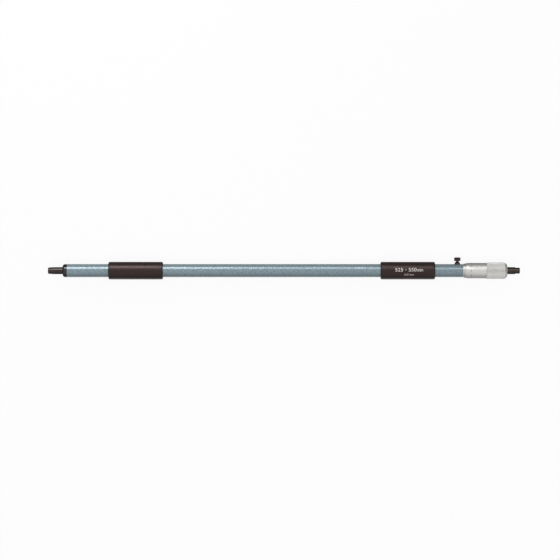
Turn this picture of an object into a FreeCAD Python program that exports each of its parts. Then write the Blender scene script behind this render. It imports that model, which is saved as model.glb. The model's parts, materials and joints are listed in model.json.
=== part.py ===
import FreeCAD, Part
import os
import re
import Sketcher

# Tubular inside micrometer for bores of 525 to 550 mm, in millimetres.
# The origin is the middle of the fixed anvil's measuring face, and +X runs along the rod.
# Each piece is drawn in the working attitude, with the lock screw standing up along +Z.
# The whole tool is then rolled about X, so that it lies on its two grips and the screw's head.

doc = FreeCAD.newDocument("TubularInsideMicrometer")
sheet = doc.addObject("Spreadsheet::Sheet", "Sizes")
Vector = FreeCAD.Vector
rows_used = []
node_names = []


def write_row(name, text):
    """Put one named value on the next row of the sheet."""
    rows_used.append(name)
    row = len(rows_used)
    sheet.set(f"A{row}", name)
    sheet.set(f"B{row}", text)
    sheet.setAlias(f"B{row}", name)


def worked(name, formula, note):
    """A value that follows from the driving dimensions, with a note beside it."""
    write_row(name, "=" + formula)
    sheet.set(f"C{len(rows_used)}", note)


# Driving dimensions, each with a name of its own
DRIVING = {
    # Sizes of the whole tool
    "closed_length": 525.0,  # between the measuring faces with the thimble at zero
    "travel": 25.0,  # how far the thimble opens the tool
    "seat_gap": 0.02,  # radial gap of pieces that are pressed, glued or screwed together
    "running_gap": 0.03,  # radial gap of pieces that turn or slide in each other

    # Sizes of the tube and its grips
    "tube_d": 14.5,  # outside diameter of the main tube
    "tube_wall": 1.5,  # wall of the main tube
    "tube_chamfer": 0.3,  # broken edges at the tube's ends
    "grip_wall": 2.5,  # wall of the moulded grips
    "grip_length": 60.6,  # length of each grip
    "grip_round": 1.5,  # rounding of the grips' ends
    "front_bare": 46.2,  # bare tube before the front grip
    "rear_bare": 30.8,  # bare tube behind the rear grip

    # Sizes of the fixed end
    "anvil_reach": 16.5,  # how far the anvil stands out of its plug
    "shank_d": 7.8,  # diameter of the two contact shanks
    "nose_d": 6.9,  # diameter of the anvil's blunt nose
    "nose_length": 6.8,  # length of the anvil's tapered nose
    "nose_round": 0.35,  # rounded rim of both noses
    "stem_d": 5.0,  # stem that fixes the anvil in its plug
    "stem_length": 12.0,  # length of that stem
    "flange_length": 4.7,  # length of the plug's visible flange
    "flange_inset": 0.05,  # flange radius below the tube's radius
    "flange_round": 1.2,  # rounding of the flange's front edge
    "spigot_length": 14.0,  # length of the plug inside the tube
    "insert_d": 4.6,  # diameter of the hard measuring inserts
    "insert_length": 3.5,  # length of the hard measuring inserts
    "insert_stand": 0.3,  # how far an insert stands out of its nose
    "face_radius": 25.0,  # spherical radius of the measuring faces

    # Sizes of the fixed part of the measuring head
    "sleeve_show": 0.9,  # sleeve seen between tube and thimble at zero
    "sleeve_inset": 0.25,  # sleeve radius below the tube's radius
    "sleeve_wall": 1.75,  # wall of the graduated sleeve
    "sleeve_cover": 1.8,  # sleeve still under the thimble when fully open
    "sleeve_side_gap": 0.05,  # gap between the graduated sleeve and the tube's end
    "wrench_hole_d": 1.2,  # hole for the spanner that turns the sleeve to zero
    "wrench_hole_depth": 0.9,  # depth of that hole
    "wrench_hole_offset": 12.0,  # distance of that hole from the tube's end
    "head_depth": 20.1,  # how far the inner sleeve reaches into the tube
    "guide_length": 17.3,  # length of the spindle's plain guide bore
    "nut_thread_length": 14.2,  # length of the split nut's thread
    "relief_gap": 0.2,  # radial room round the thread where it isn't held
    "slit_count": 3,  # slits that let the nut close on the thread
    "slit_width": 0.8,  # width of each slit
    "slit_length": 16.0,  # length of each slit
    "split_fall": 0.5,  # fall in diameter of the split end's outer taper
    "adjuster_space": 0.6,  # space between graduated sleeve and adjusting nut
    "adjuster_length": 4.0,  # length of the adjusting nut
    "adjuster_wall": 0.95,  # wall of the adjusting nut
    "thread_proud": 0.6,  # split end that stands out of the adjusting nut
    "key_width": 1.2,  # width of the spanner slots in the round nuts
    "key_depth": 0.9,  # depth of those slots

    # Sizes of the spindle and its travel stop
    "journal_d": 6.0,  # diameter of the spindle's plain journal
    "thread_d": 7.5,  # diameter of the spindle's measuring thread
    "undercut": 0.3,  # depth of the undercuts beside the thread
    "undercut_length": 1.2,  # length of those undercuts
    "zero_run": 0.5,  # thread left to run at zero
    "stop_gap": 0.2,  # room left at the travel stop when fully open
    "washer_d": 9.0,  # diameter of the travel stop washer
    "washer_thick": 2.0,  # thickness of the travel stop washer
    "stop_screw_d": 3.0,  # thread of the screw that holds the washer
    "stop_screw_length": 8.0,  # length of that screw under its head
    "stop_head_d": 5.2,  # diameter of that screw's head
    "stop_head_height": 1.8,  # height of that screw's head
    "stop_slot_width": 0.8,  # driver slot in that head
    "stop_slot_depth": 0.8,  # depth of the driver slot
    "tail_hole_spare": 1.0,  # tapped hole beyond the screw's end

    # Sizes of the thimble
    "thimble_gap": 0.15,  # radial gap of the thimble over the sleeve
    "edge_wall": 0.4,  # wall at the thimble's reading edge
    "thimble_wall": 1.35,  # wall of the thimble's plain part
    "bevel_length": 5.1,  # length of the bevel with the fine divisions
    "collar_length": 22.8,  # length of the knurled collar
    "collar_rise": 0.6,  # collar radius above the plain part's radius
    "collar_slope": 2.6,  # chamfer of the collar's outer end
    "collar_chamfer": 0.3,  # broken edge at the collar's inner end
    "knurl_count": 56,  # flutes of the straight knurl
    "knurl_depth": 0.34,  # depth of each flute
    "end_wall": 11.0,  # thickness of the thimble's closed end
    "cavity_room": 5.4,  # room between split nut and closed end at zero
    "taper_big_d": 7.8,  # large end of the taper that carries the thimble
    "taper_small_d": 6.6,  # small end of that taper
    "draw_gap": 0.4,  # room for the nut to draw the thimble on to its taper
    "recess_depth": 3.6,  # recess for the thimble nut
    "recess_gap": 0.1,  # radial gap of the nut in its recess
    "thimble_nut_d": 8.2,  # diameter of the thimble nut
    "thimble_nut_length": 2.8,  # length of the thimble nut

    # Sizes of the moving contact
    "holder_show": 9.1,  # contact holder seen outside the thimble
    "holder_root_d": 7.2,  # holder's undercut root, in and just outside the recess
    "holder_root_show": 0.4,  # length of that root outside the thimble
    "contact_show": 5.3,  # contact seen outside its holder
    "contact_d": 6.6,  # diameter of the moving contact's nose
    "contact_stem_d": 4.4,  # stem that fixes the contact in its holder
    "contact_stem_length": 4.7,  # length of that stem
    "stud_d": 5.5,  # threaded end of the spindle
    "stud_grip": 4.2,  # length of that thread inside the holder
    "stud_space": 0.6,  # bore beyond the spindle's end

    # Sizes of the spindle lock
    "lock_offset": 5.9,  # distance of the lock screw from the tube's end
    "boss_d": 5.9,  # diameter of the lock screw's boss
    "boss_rise": 2.35,  # height of the boss above the tube
    "boss_top_d": 3.9,  # diameter of the boss's narrow top
    "boss_cone": 1.0,  # height of the boss's cone
    "boss_stem_d": 4.5,  # threaded foot of the boss
    "boss_hole_gap": 0.1,  # radial gap of the foot in the tube's wall
    "spot_under": 0.02,  # spot face below the tube's lowest cut edge
    "pad_wall": 1.4,  # inner sleeve left under the boss's foot
    "screw_d": 3.0,  # thread of the lock screw
    "neck_length": 1.1,  # screw seen between boss and head
    "lock_head_d": 7.0,  # diameter of the lock screw's knurled head
    "lock_head_height": 4.0,  # height of that head
    "lock_head_slope": 0.6,  # chamfer of the head's top edge
    "lock_head_chamfer": 0.25,  # broken edge under the head
    "lock_knurl_count": 24,  # flutes of the head's knurl
    "lock_knurl_depth": 0.22,  # depth of each of those flutes
    "plug_d": 2.6,  # diameter of the brass clamp plug
    "plug_length": 2.3,  # height of the plug over the spindle's crest
    "plug_gap": 0.05,  # radial gap of the plug in its cross hole
    "plug_play": 0.05,  # play between plug and lock screw
    "lock_lift": 0.25,  # how far the released plug stands off the spindle
    "flute_over": 0.3,  # how far a knurling cut starts outside the metal
}

for size_name, size_value in DRIVING.items():
    write_row(size_name, str(size_value))

# Diameters that follow from those above
worked("tube_bore", "tube_d - 2 * tube_wall", "bore of the main tube")
worked("grip_bore", "tube_d + 2 * seat_gap", "bore of the grips")
worked("grip_d", "tube_d + 2 * grip_wall", "outside diameter of the grips")
worked("flange_d", "tube_d - 2 * flange_inset", "visible flange of the anvil plug")
worked("spigot_d", "tube_bore - 2 * seat_gap", "pieces that seat in the tube")
worked("stem_bore", "stem_d + 2 * seat_gap", "bore of the anvil plug")
worked("insert_bore", "insert_d + 2 * seat_gap", "socket of a measuring insert")
worked("sleeve_d", "tube_d - 2 * sleeve_inset", "outside of the graduated sleeve")
worked("neck_d", "sleeve_d - 2 * sleeve_wall", "inner sleeve under the graduated one")
worked("sleeve_bore", "neck_d + 2 * running_gap", "bore of the graduated sleeve")
worked("guide_bore", "journal_d + 2 * running_gap", "spindle's guide bore")
worked("thread_bore", "thread_d + 2 * running_gap", "split nut's thread")
worked("relief_bore", "thread_d + 2 * relief_gap", "inner sleeve's wider bore")
worked("split_tip_d", "neck_d - split_fall", "tip of the split end's taper")
worked("adjuster_bore", "neck_d + 2 * seat_gap", "wide end of the adjusting nut's bore")
worked("adjuster_fall", "split_fall * adjuster_length / (adjuster_length + thread_proud)", "fall of that bore")
worked("adjuster_tip_bore", "adjuster_bore - adjuster_fall", "narrow end of that bore")
worked("adjuster_d", "neck_d + 2 * adjuster_wall", "outside of the adjusting nut")
worked("journal_cut_d", "journal_d - 2 * undercut", "undercut between journal and thread")
worked("thread_cut_d", "thread_d - 2 * undercut", "undercut between thread and taper")
worked("washer_bore", "stop_screw_d + 2 * seat_gap", "hole of the washer and the spindle's tail")
worked("thimble_bore", "sleeve_d + 2 * thimble_gap", "bore of the thimble")
worked("edge_d", "thimble_bore + 2 * edge_wall", "thimble's reading edge")
worked("thimble_d", "thimble_bore + 2 * thimble_wall", "thimble's plain part")
worked("collar_d", "thimble_d + 2 * collar_rise", "knurled collar")
worked("seat_big_d", "taper_big_d - 2 * seat_gap", "large end of the spindle's taper")
worked("recess_d", "thimble_nut_d + 2 * recess_gap", "recess in the thimble's end")
worked("stud_bore", "stud_d + 2 * seat_gap", "thread in nut and holder")
worked("contact_bore", "contact_stem_d + 2 * seat_gap", "holder's bore for the contact")
worked("boss_bore", "screw_d + 2 * running_gap", "threaded bore of the boss")
worked("boss_hole_d", "boss_stem_d + 2 * boss_hole_gap", "hole in the tube's wall")
worked("boss_seat_d", "boss_stem_d + 2 * seat_gap", "seat of the boss's foot")
worked("spot_d", "boss_d + 2 * boss_hole_gap", "spot face on the tube")
worked("plug_hole_d", "plug_d + 2 * plug_gap", "cross hole of the clamp plug")

# Places along the rod that follow from the lengths above
worked("tube_start", "anvil_reach + flange_length", "tube's front end")
worked("stem_end", "anvil_reach + stem_length", "end of the anvil's stem")
worked("spigot_end", "tube_start + spigot_length", "end of the anvil plug")
worked("sleeve_reach", "travel + sleeve_cover", "graduated sleeve behind the thimble's edge")
worked("nut_reach", "adjuster_space + adjuster_length + thread_proud", "split end past the sleeve")
worked("thimble_length", "sleeve_reach + nut_reach + cavity_room + end_wall", "length of the thimble")
worked("holder_end", "closed_length - contact_show", "outer end of the contact holder")
worked("thimble_end", "holder_end - holder_show", "thimble's outer end")
worked("thimble_start", "thimble_end - thimble_length", "thimble's reading edge")
worked("tube_end", "thimble_start - sleeve_show", "tube's rear end")
worked("front_grip_start", "tube_start + front_bare", "front grip")
worked("front_grip_end", "front_grip_start + grip_length", "front grip")
worked("rear_grip_end", "tube_end - rear_bare", "rear grip")
worked("rear_grip_start", "rear_grip_end - grip_length", "rear grip")
worked("sleeve_start", "tube_end + sleeve_side_gap", "graduated sleeve's front end")
worked("sleeve_end", "thimble_start + sleeve_reach", "graduated sleeve's rear end")
worked("wrench_hole_x", "tube_end + wrench_hole_offset", "spanner hole in the sleeve")
worked("adjuster_start", "sleeve_end + adjuster_space", "adjusting nut")
worked("adjuster_end", "adjuster_start + adjuster_length", "adjusting nut")
worked("adjuster_key_start", "adjuster_end - key_depth", "adjusting nut's spanner slot")
worked("inner_end", "adjuster_end + thread_proud", "rear end of the inner sleeve")
worked("thread_in", "inner_end - nut_thread_length", "start of the nut's thread")
worked("slit_start", "inner_end - slit_length", "bottom of the slits")
worked("guide_start", "tube_end - head_depth", "front end of the inner sleeve")
worked("guide_end", "guide_start + guide_length", "end of the guide bore")
worked("thread_start", "guide_end + zero_run", "start of the spindle's thread")
worked("journal_end", "thread_start - undercut_length", "end of the plain journal")
worked("journal_start", "guide_start - stop_gap - travel", "spindle's inner end")
worked("washer_start", "journal_start - washer_thick", "travel stop washer")
worked("stop_head_start", "washer_start - stop_head_height", "stop screw's head")
worked("stop_slot_end", "stop_head_start + stop_slot_depth", "bottom of the stop screw's slot")
worked("stop_screw_end", "washer_start + stop_screw_length", "stop screw's end")
worked("tail_hole_end", "stop_screw_end + tail_hole_spare", "bottom of the tapped hole")
worked("collar_start", "thimble_end - collar_length", "knurled collar")
worked("bevel_end", "thimble_start + bevel_length", "end of the thimble's bevel")
worked("cavity_end", "thimble_end - end_wall", "bottom of the thimble's cavity")
worked("thread_end", "cavity_end - undercut_length", "end of the spindle's thread")
worked("recess_start", "thimble_end - recess_depth", "bottom of the nut's recess")
worked("taper_end", "recess_start - draw_gap", "end of the spindle's taper")
worked("thimble_nut_end", "recess_start + thimble_nut_length", "thimble nut's outer face")
worked("thimble_key_start", "thimble_nut_end - key_depth", "thimble nut's spanner slot")
worked("holder_root_end", "thimble_end + holder_root_show", "end of the holder's undercut root")
worked("stud_end", "thimble_nut_end + stud_grip", "spindle's outer end")
worked("stud_room_end", "stud_end + stud_space", "end of the holder's wide bore")
worked("contact_stem_start", "holder_end - contact_stem_length", "contact's stem")
worked("contact_face", "closed_length - insert_stand", "steel face round the moving insert")
worked("contact_socket", "closed_length - insert_length", "bottom of the moving insert's socket")
worked("lock_x", "tube_end - lock_offset", "lock screw's axis")
worked("taper_fall", "(taper_big_d - taper_small_d) / (recess_start - cavity_end)", "taper for each millimetre")
worked("seat_small_d", "taper_small_d + taper_fall * draw_gap - 2 * seat_gap", "small end of the spindle's taper")

# Heights over the rod's axis that follow, for the spindle lock
worked("spot_height", "sqrt(tube_d ^ 2 - boss_d ^ 2) / 2 - spot_under", "spot face on the tube")
worked("boss_foot", "journal_d / 2 + pad_wall", "bottom of the boss")
worked("boss_top", "tube_d / 2 + boss_rise", "top of the boss")
worked("boss_shoulder", "boss_top - boss_cone", "bottom of the boss's cone")
worked("lock_head_bottom", "boss_top + neck_length", "underside of the lock screw's head")
worked("lock_reach", "lock_head_bottom + lock_head_height", "top of the lock screw's head")
worked("saddle_radius", "journal_d / 2 + running_gap", "hollow of the clamp plug")
worked("plug_top", "saddle_radius + lock_lift + plug_length", "top of the clamp plug")
worked("screw_foot", "plug_top + plug_play", "end of the lock screw")

# Cutting profiles of the knurls, slits and slots
worked("flute_floor", "collar_d / 2 - knurl_depth", "bottom of the thimble's flutes")
worked("flute_mouth", "collar_d / 2 + flute_over", "outer edge of the flute cut")
worked("flute_half", "flute_mouth - flute_floor", "half width of a square-angled flute cut")
worked("lock_flute_floor", "lock_head_d / 2 - lock_knurl_depth", "bottom of the head's flutes")
worked("lock_flute_mouth", "lock_head_d / 2 + flute_over", "outer edge of that cut")
worked("lock_flute_half", "lock_flute_mouth - lock_flute_floor", "half width of that cut")
worked("slit_half", "slit_width / 2", "half width of a slit")
worked("key_half", "key_width / 2", "half width of a spanner slot")
worked("stop_slot_half", "stop_slot_width / 2", "half width of the driver slot")
worked("wrench_hole_lift", "wrench_hole_depth - sleeve_d / 2", "bottom of the spanner hole, at the back")

# The roll that lays the tool down: both grips and the rim of the lock screw's head touch the floor
worked("rim_out", "lock_reach - lock_head_slope", "rim of the head, outwards")
worked("rim_side", "lock_head_d / 2", "rim of the head, sideways")
worked("rim_drop", "grip_d / 2", "how far that rim lies below the axis")
worked("screw_dip", "asin(rim_drop / hypot(rim_out; rim_side)) - atan(rim_side / rim_out)", "screw below level")
worked("roll_angle", "270 deg - screw_dip", "roll about X from the working attitude")

doc.recompute()


def amount(word):
    """The number behind a name of the sheet, which may have a minus sign."""
    if word == "0":
        return 0.0
    sign = -1.0 if word.startswith("-") else 1.0
    return sign * float(sheet.get(word.lstrip("-")))


def bound(words):
    """An expression in which each name is looked up on the sheet."""
    return re.sub(r"([a-z_]+)", r"Sizes.\1", words)


def lay_down(piece, along="0"):
    """Roll a piece with the whole tool, after moving it along the rod."""
    place = f"vector({bound(along)}; 0; 0)"
    piece.setExpression("Placement", f"placement({place}; rotation(vector(1; 0; 0); Sizes.roll_angle))")


def new_body(name, along="0"):
    """A body whose label is the name of its piece."""
    body = doc.addObject("PartDesign::Body", name)
    body.Label = name
    node_names.append(name)
    lay_down(body, along)
    return body


def origin_part(body, role):
    """One of the body's own origin planes or axes."""
    return next(part for part in body.Origin.OriginFeatures if part.Role == role)


def new_sketch(body, name, role, lift):
    """An empty sketch on an origin plane, or lifted off it."""
    sketch = body.newObject("Sketcher::SketchObject", name)
    sketch.AttachmentSupport = (origin_part(body, role), [""])
    sketch.MapMode = "FlatFace"
    if lift != "0":
        sketch.setExpression("AttachmentOffset.Base.z", bound(lift))
    return sketch


def hold(sketch, line, kind, axis, word, share=""):
    """Fix one coordinate of the start of a line, or of a circle's centre."""
    point = 3 if isinstance(sketch.Geometry[line], Part.Circle) else 1
    if word == "0":
        sketch.addConstraint(Sketcher.Constraint("PointOnObject", line, point, axis))
        return
    value = amount(word) / (2 if share else 1)
    number = sketch.addConstraint(Sketcher.Constraint(kind, -1, 1, line, point, value))
    sketch.setExpression(f"Constraints[{number}]", bound(word) + share)


def closed_sketch(body, name, role, corners, lift="0", shares=("", "")):
    """A closed outline through corners that are given by names of the sheet."""
    sketch = new_sketch(body, name, role, lift)
    scale = [0.5 if share else 1.0 for share in shares]
    points = [Vector(amount(u) * scale[0], amount(v) * scale[1], 0) for u, v in corners]
    for start, end in zip(points, points[1:] + points[:1]):
        sketch.addGeometry(Part.LineSegment(start, end), False)
    for line, (across, up) in enumerate(corners):
        following = (line + 1) % len(corners)
        sketch.addConstraint(Sketcher.Constraint("Coincident", line, 2, following, 1))
        hold(sketch, line, "DistanceX", -2, across, shares[0])
        hold(sketch, line, "DistanceY", -1, up, shares[1])
    return sketch


def round_sketch(body, name, role, across, diameter, lift="0"):
    """A circle on the plane's first axis."""
    sketch = new_sketch(body, name, role, lift)
    circle = Part.Circle(Vector(amount(across), 0, 0), Vector(0, 0, 1), amount(diameter) / 2)
    sketch.addGeometry(circle, False)
    hold(sketch, 0, "DistanceX", -2, across)
    hold(sketch, 0, "DistanceY", -1, "0")
    number = sketch.addConstraint(Sketcher.Constraint("Diameter", 0, amount(diameter)))
    sketch.setExpression(f"Constraints[{number}]", bound(diameter))
    return sketch


def revolved(body, sketch, axis):
    """Turn an outline round one of its sketch's axes."""
    turning = body.newObject("PartDesign::Revolution", body.Name + "_turning")
    turning.Profile = sketch
    turning.ReferenceAxis = (sketch, [axis])
    turning.Angle = 360
    body.Tip = turning
    return turning


def turned(name, corners):
    """A piece turned about the rod's axis, from corners of (place, diameter)."""
    body = new_body(name)
    sketch = closed_sketch(body, name + "_outline", "XZ_Plane", corners, shares=("", " / 2"))
    return body, revolved(body, sketch, "H_Axis")


def turned_upright(name, corners):
    """A piece turned about the lock screw's axis, from corners of (diameter, height)."""
    body = new_body(name, "lock_x")
    sketch = closed_sketch(body, name + "_outline", "XZ_Plane", corners, shares=(" / 2", ""))
    return body, revolved(body, sketch, "V_Axis")


def cut_away(body, sketch, name, forwards=True):
    """Cut a sketch right through, along its normal or against it."""
    pocket = body.newObject("PartDesign::Pocket", name)
    pocket.Profile = sketch
    pocket.Type = "ThroughAll"
    pocket.Reversed = forwards
    body.Tip = pocket
    return pocket


def spread_round(body, feature, role, count):
    """Repeat a cut evenly round an axis."""
    pattern = body.newObject("PartDesign::PolarPattern", feature.Name + "_ring")
    pattern.Originals = [feature]
    pattern.Axis = (origin_part(body, role), [""])
    pattern.Angle = 360
    pattern.setExpression("Occurrences", bound(count))
    body.Tip = pattern
    return pattern


def rim_names(feature, place, diameter, upright=False):
    """The round edges of a feature at a place along its axis, by their names."""
    doc.recompute()
    names = []
    for number, edge in enumerate(feature.Shape.Edges, 1):
        curve = edge.Curve
        if not isinstance(curve, Part.Circle):
            continue
        spot = curve.Center.z if upright else curve.Center.x
        if abs(spot - amount(place)) < 1e-6 and abs(2 * curve.Radius - amount(diameter)) < 1e-6:
            names.append(f"Edge{number}")
    return names


def finish_rim(body, feature, kind, word, rims, upright=False):
    """Round or chamfer the rims given as (place, diameter)."""
    names = []
    for place, diameter in rims:
        names = names + rim_names(feature, place, diameter, upright)
    finish = body.newObject("PartDesign::" + kind, f"{body.Name}_{kind.lower()}_{len(body.Group)}")
    finish.Base = (feature, names)
    finish.setExpression("Radius" if kind == "Fillet" else "Size", bound(word))
    body.Tip = finish
    return finish


def through_slot(body, name, half, reach, lift, forwards=True):
    """A slot right across a round face, for a spanner or a driver."""
    corners = [("-" + half, "-" + reach), (half, "-" + reach), (half, reach), ("-" + half, reach)]
    sketch = closed_sketch(body, name + "_sketch", "YZ_Plane", corners, lift)
    return cut_away(body, sketch, name, forwards)


def make_main_tube():
    """The steel tube, with a hole and a spot face for the lock screw's boss."""
    corners = [("tube_start", "tube_bore"), ("tube_start", "tube_d"),
               ("tube_end", "tube_d"), ("tube_end", "tube_bore")]
    body, tube = turned("main_tube", corners)
    rims = [("tube_start", "tube_d"), ("tube_end", "tube_d")]
    finish_rim(body, tube, "Chamfer", "tube_chamfer", rims)
    hole = round_sketch(body, "boss_hole", "XY_Plane", "lock_x", "boss_hole_d")
    cut_away(body, hole, "boss_hole_cut")
    spot = round_sketch(body, "boss_spot", "XY_Plane", "lock_x", "spot_d", "spot_height")
    cut_away(body, spot, "boss_spot_cut")


def make_grip(name, start, end):
    """A moulded heat-insulating grip, with rounded ends."""
    corners = [(start, "grip_bore"), (start, "grip_d"), (end, "grip_d"), (end, "grip_bore")]
    body, sleeve = turned(name, corners)
    finish_rim(body, sleeve, "Fillet", "grip_round", [(start, "grip_d"), (end, "grip_d")])


def make_anvil_plug():
    """The plug that closes the tube's front end and carries the anvil."""
    corners = [("anvil_reach", "stem_bore"), ("anvil_reach", "flange_d"), ("tube_start", "flange_d"),
               ("tube_start", "spigot_d"), ("spigot_end", "spigot_d"), ("spigot_end", "stem_bore")]
    body, plug = turned("anvil_plug", corners)
    finish_rim(body, plug, "Fillet", "flange_round", [("anvil_reach", "flange_d")])


def make_anvil():
    """The fixed contact: a shank with a slightly tapered nose and a socket for its insert."""
    corners = [("insert_length", "0"), ("insert_length", "insert_bore"), ("insert_stand", "insert_bore"),
               ("insert_stand", "nose_d"), ("nose_length", "shank_d"), ("anvil_reach", "shank_d"),
               ("anvil_reach", "stem_d"), ("stem_end", "stem_d"), ("stem_end", "0")]
    body, anvil = turned("anvil", corners)
    finish_rim(body, anvil, "Fillet", "nose_round", [("insert_stand", "nose_d")])


def make_insert(name, back, centre):
    """A hard measuring insert: a short pin with a spherical face."""
    pin = doc.addObject("Part::Cylinder", name + "_pin")
    pin.setExpression("Radius", bound("insert_d") + " / 2")
    pin.setExpression("Height", bound("insert_length"))
    pin.setExpression("Placement", f"placement(vector({bound(back)}; 0; 0); rotation(vector(0; 1; 0); 90 deg))")
    ball = doc.addObject("Part::Sphere", name + "_ball")
    ball.setExpression("Radius", bound("face_radius"))
    ball.setExpression("Placement", f"placement(vector({bound(centre)}; 0; 0); rotation(vector(1; 0; 0); 0 deg))")
    insert = doc.addObject("Part::Common", name)
    insert.Base = pin
    insert.Tool = ball
    insert.Label = name
    lay_down(insert)
    node_names.append(name)


def make_inner_sleeve():
    """The head's body: guide bore, spindle lock seat, and a split nut on an outer taper."""
    corners = [("guide_start", "guide_bore"), ("guide_start", "spigot_d"), ("tube_end", "spigot_d"),
               ("tube_end", "neck_d"), ("adjuster_start", "neck_d"), ("inner_end", "split_tip_d"),
               ("inner_end", "thread_bore"), ("thread_in", "thread_bore"), ("thread_in", "relief_bore"),
               ("guide_end", "relief_bore"), ("guide_end", "guide_bore")]
    body, sleeve = turned("inner_sleeve", corners)
    plug_hole = round_sketch(body, "plug_hole", "XY_Plane", "lock_x", "plug_hole_d")
    cut_away(body, plug_hole, "plug_hole_cut")
    seat = round_sketch(body, "boss_seat", "XY_Plane", "lock_x", "boss_seat_d", "boss_foot")
    cut_away(body, seat, "boss_seat_cut")
    outline = [("-slit_half", "0"), ("slit_half", "0"), ("slit_half", "neck_d"), ("-slit_half", "neck_d")]
    slit_sketch = closed_sketch(body, "slit_sketch", "YZ_Plane", outline, "slit_start")
    slit = cut_away(body, slit_sketch, "slit")
    spread_round(body, slit, "X_Axis", "slit_count")


def make_adjusting_nut():
    """The round nut whose tapered thread closes the split nut and takes up wear."""
    corners = [("adjuster_start", "adjuster_bore"), ("adjuster_start", "adjuster_d"),
               ("adjuster_end", "adjuster_d"), ("adjuster_end", "adjuster_tip_bore")]
    body, nut = turned("thread_adjusting_nut", corners)
    through_slot(body, "adjuster_key", "key_half", "adjuster_d", "adjuster_key_start")


def make_graduated_sleeve():
    """The sleeve with the main scale, and at its back the hole of the zero-setting spanner."""
    corners = [("sleeve_start", "sleeve_bore"), ("sleeve_start", "sleeve_d"),
               ("sleeve_end", "sleeve_d"), ("sleeve_end", "sleeve_bore")]
    body, sleeve = turned("graduated_sleeve", corners)
    hole = round_sketch(body, "wrench_hole", "XZ_Plane", "wrench_hole_x", "wrench_hole_d", "wrench_hole_lift")
    cut_away(body, hole, "wrench_hole_cut", forwards=False)


def make_spindle():
    """The spindle: tapped tail, lapped journal, measuring thread, thimble taper and threaded end."""
    corners = [("tail_hole_end", "0"), ("tail_hole_end", "washer_bore"), ("journal_start", "washer_bore"),
               ("journal_start", "journal_d"), ("journal_end", "journal_d"), ("journal_end", "journal_cut_d"),
               ("thread_start", "journal_cut_d"), ("thread_start", "thread_d"), ("thread_end", "thread_d"),
               ("thread_end", "thread_cut_d"), ("cavity_end", "thread_cut_d"), ("cavity_end", "seat_big_d"),
               ("taper_end", "seat_small_d"), ("taper_end", "stud_d"), ("stud_end", "stud_d"), ("stud_end", "0")]
    turned("spindle", corners)


def make_stop_washer():
    """The washer that meets the inner sleeve when the tool is fully open."""
    corners = [("washer_start", "washer_bore"), ("washer_start", "washer_d"),
               ("journal_start", "washer_d"), ("journal_start", "washer_bore")]
    turned("stop_washer", corners)


def make_stop_screw():
    """The slotted screw that holds the stop washer on the spindle's tail."""
    corners = [("stop_head_start", "0"), ("stop_head_start", "stop_head_d"), ("washer_start", "stop_head_d"),
               ("washer_start", "stop_screw_d"), ("stop_screw_end", "stop_screw_d"), ("stop_screw_end", "0")]
    body, screw = turned("stop_screw", corners)
    through_slot(body, "driver_slot", "stop_slot_half", "stop_head_d", "stop_slot_end", forwards=False)


def make_thimble():
    """The thimble: bevelled reading edge, plain barrel and a fluted collar with a closed end."""
    corners = [("thimble_start", "thimble_bore"), ("thimble_start", "edge_d"), ("bevel_end", "thimble_d"),
               ("collar_start", "thimble_d"), ("collar_start", "collar_d"), ("thimble_end", "collar_d"),
               ("thimble_end", "recess_d"), ("recess_start", "recess_d"), ("recess_start", "taper_small_d"),
               ("cavity_end", "taper_big_d"), ("cavity_end", "thimble_bore")]
    body, thimble = turned("thimble", corners)
    sloped = finish_rim(body, thimble, "Chamfer", "collar_slope", [("thimble_end", "collar_d")])
    finish_rim(body, sloped, "Chamfer", "collar_chamfer", [("collar_start", "collar_d")])
    outline = [("0", "flute_floor"), ("flute_half", "flute_mouth"), ("-flute_half", "flute_mouth")]
    flute_sketch = closed_sketch(body, "flute_sketch", "YZ_Plane", outline, "collar_start")
    flute = cut_away(body, flute_sketch, "flute")
    spread_round(body, flute, "X_Axis", "knurl_count")


def make_thimble_nut():
    """The round nut that draws the thimble on to the spindle's taper."""
    corners = [("recess_start", "stud_bore"), ("recess_start", "thimble_nut_d"),
               ("thimble_nut_end", "thimble_nut_d"), ("thimble_nut_end", "stud_bore")]
    body, nut = turned("thimble_nut", corners)
    through_slot(body, "thimble_key", "key_half", "thimble_nut_d", "thimble_key_start")


def make_contact_holder():
    """The blackened holder that is screwed on the spindle's end against the nut."""
    corners = [("thimble_nut_end", "stud_bore"), ("thimble_nut_end", "holder_root_d"),
               ("holder_root_end", "holder_root_d"), ("holder_root_end", "shank_d"), ("holder_end", "shank_d"),
               ("holder_end", "contact_bore"), ("stud_room_end", "contact_bore"), ("stud_room_end", "stud_bore")]
    body, holder = turned("contact_holder", corners)
    finish_rim(body, holder, "Chamfer", "nose_round", [("holder_end", "shank_d")])


def make_spindle_contact():
    """The moving contact: a nose with a socket for its insert, and a stem in the holder."""
    corners = [("contact_stem_start", "0"), ("contact_stem_start", "contact_stem_d"),
               ("holder_end", "contact_stem_d"), ("holder_end", "contact_d"), ("contact_face", "contact_d"),
               ("contact_face", "insert_bore"), ("contact_socket", "insert_bore"), ("contact_socket", "0")]
    body, contact = turned("spindle_contact", corners)
    finish_rim(body, contact, "Fillet", "nose_round", [("contact_face", "contact_d")])


def make_lock_boss():
    """The boss that is screwed into the inner sleeve, through the tube, and guides the lock screw."""
    corners = [("boss_bore", "boss_foot"), ("boss_stem_d", "boss_foot"), ("boss_stem_d", "spot_height"),
               ("boss_d", "spot_height"), ("boss_d", "boss_shoulder"), ("boss_top_d", "boss_top"),
               ("boss_bore", "boss_top")]
    turned_upright("lock_boss", corners)


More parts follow.
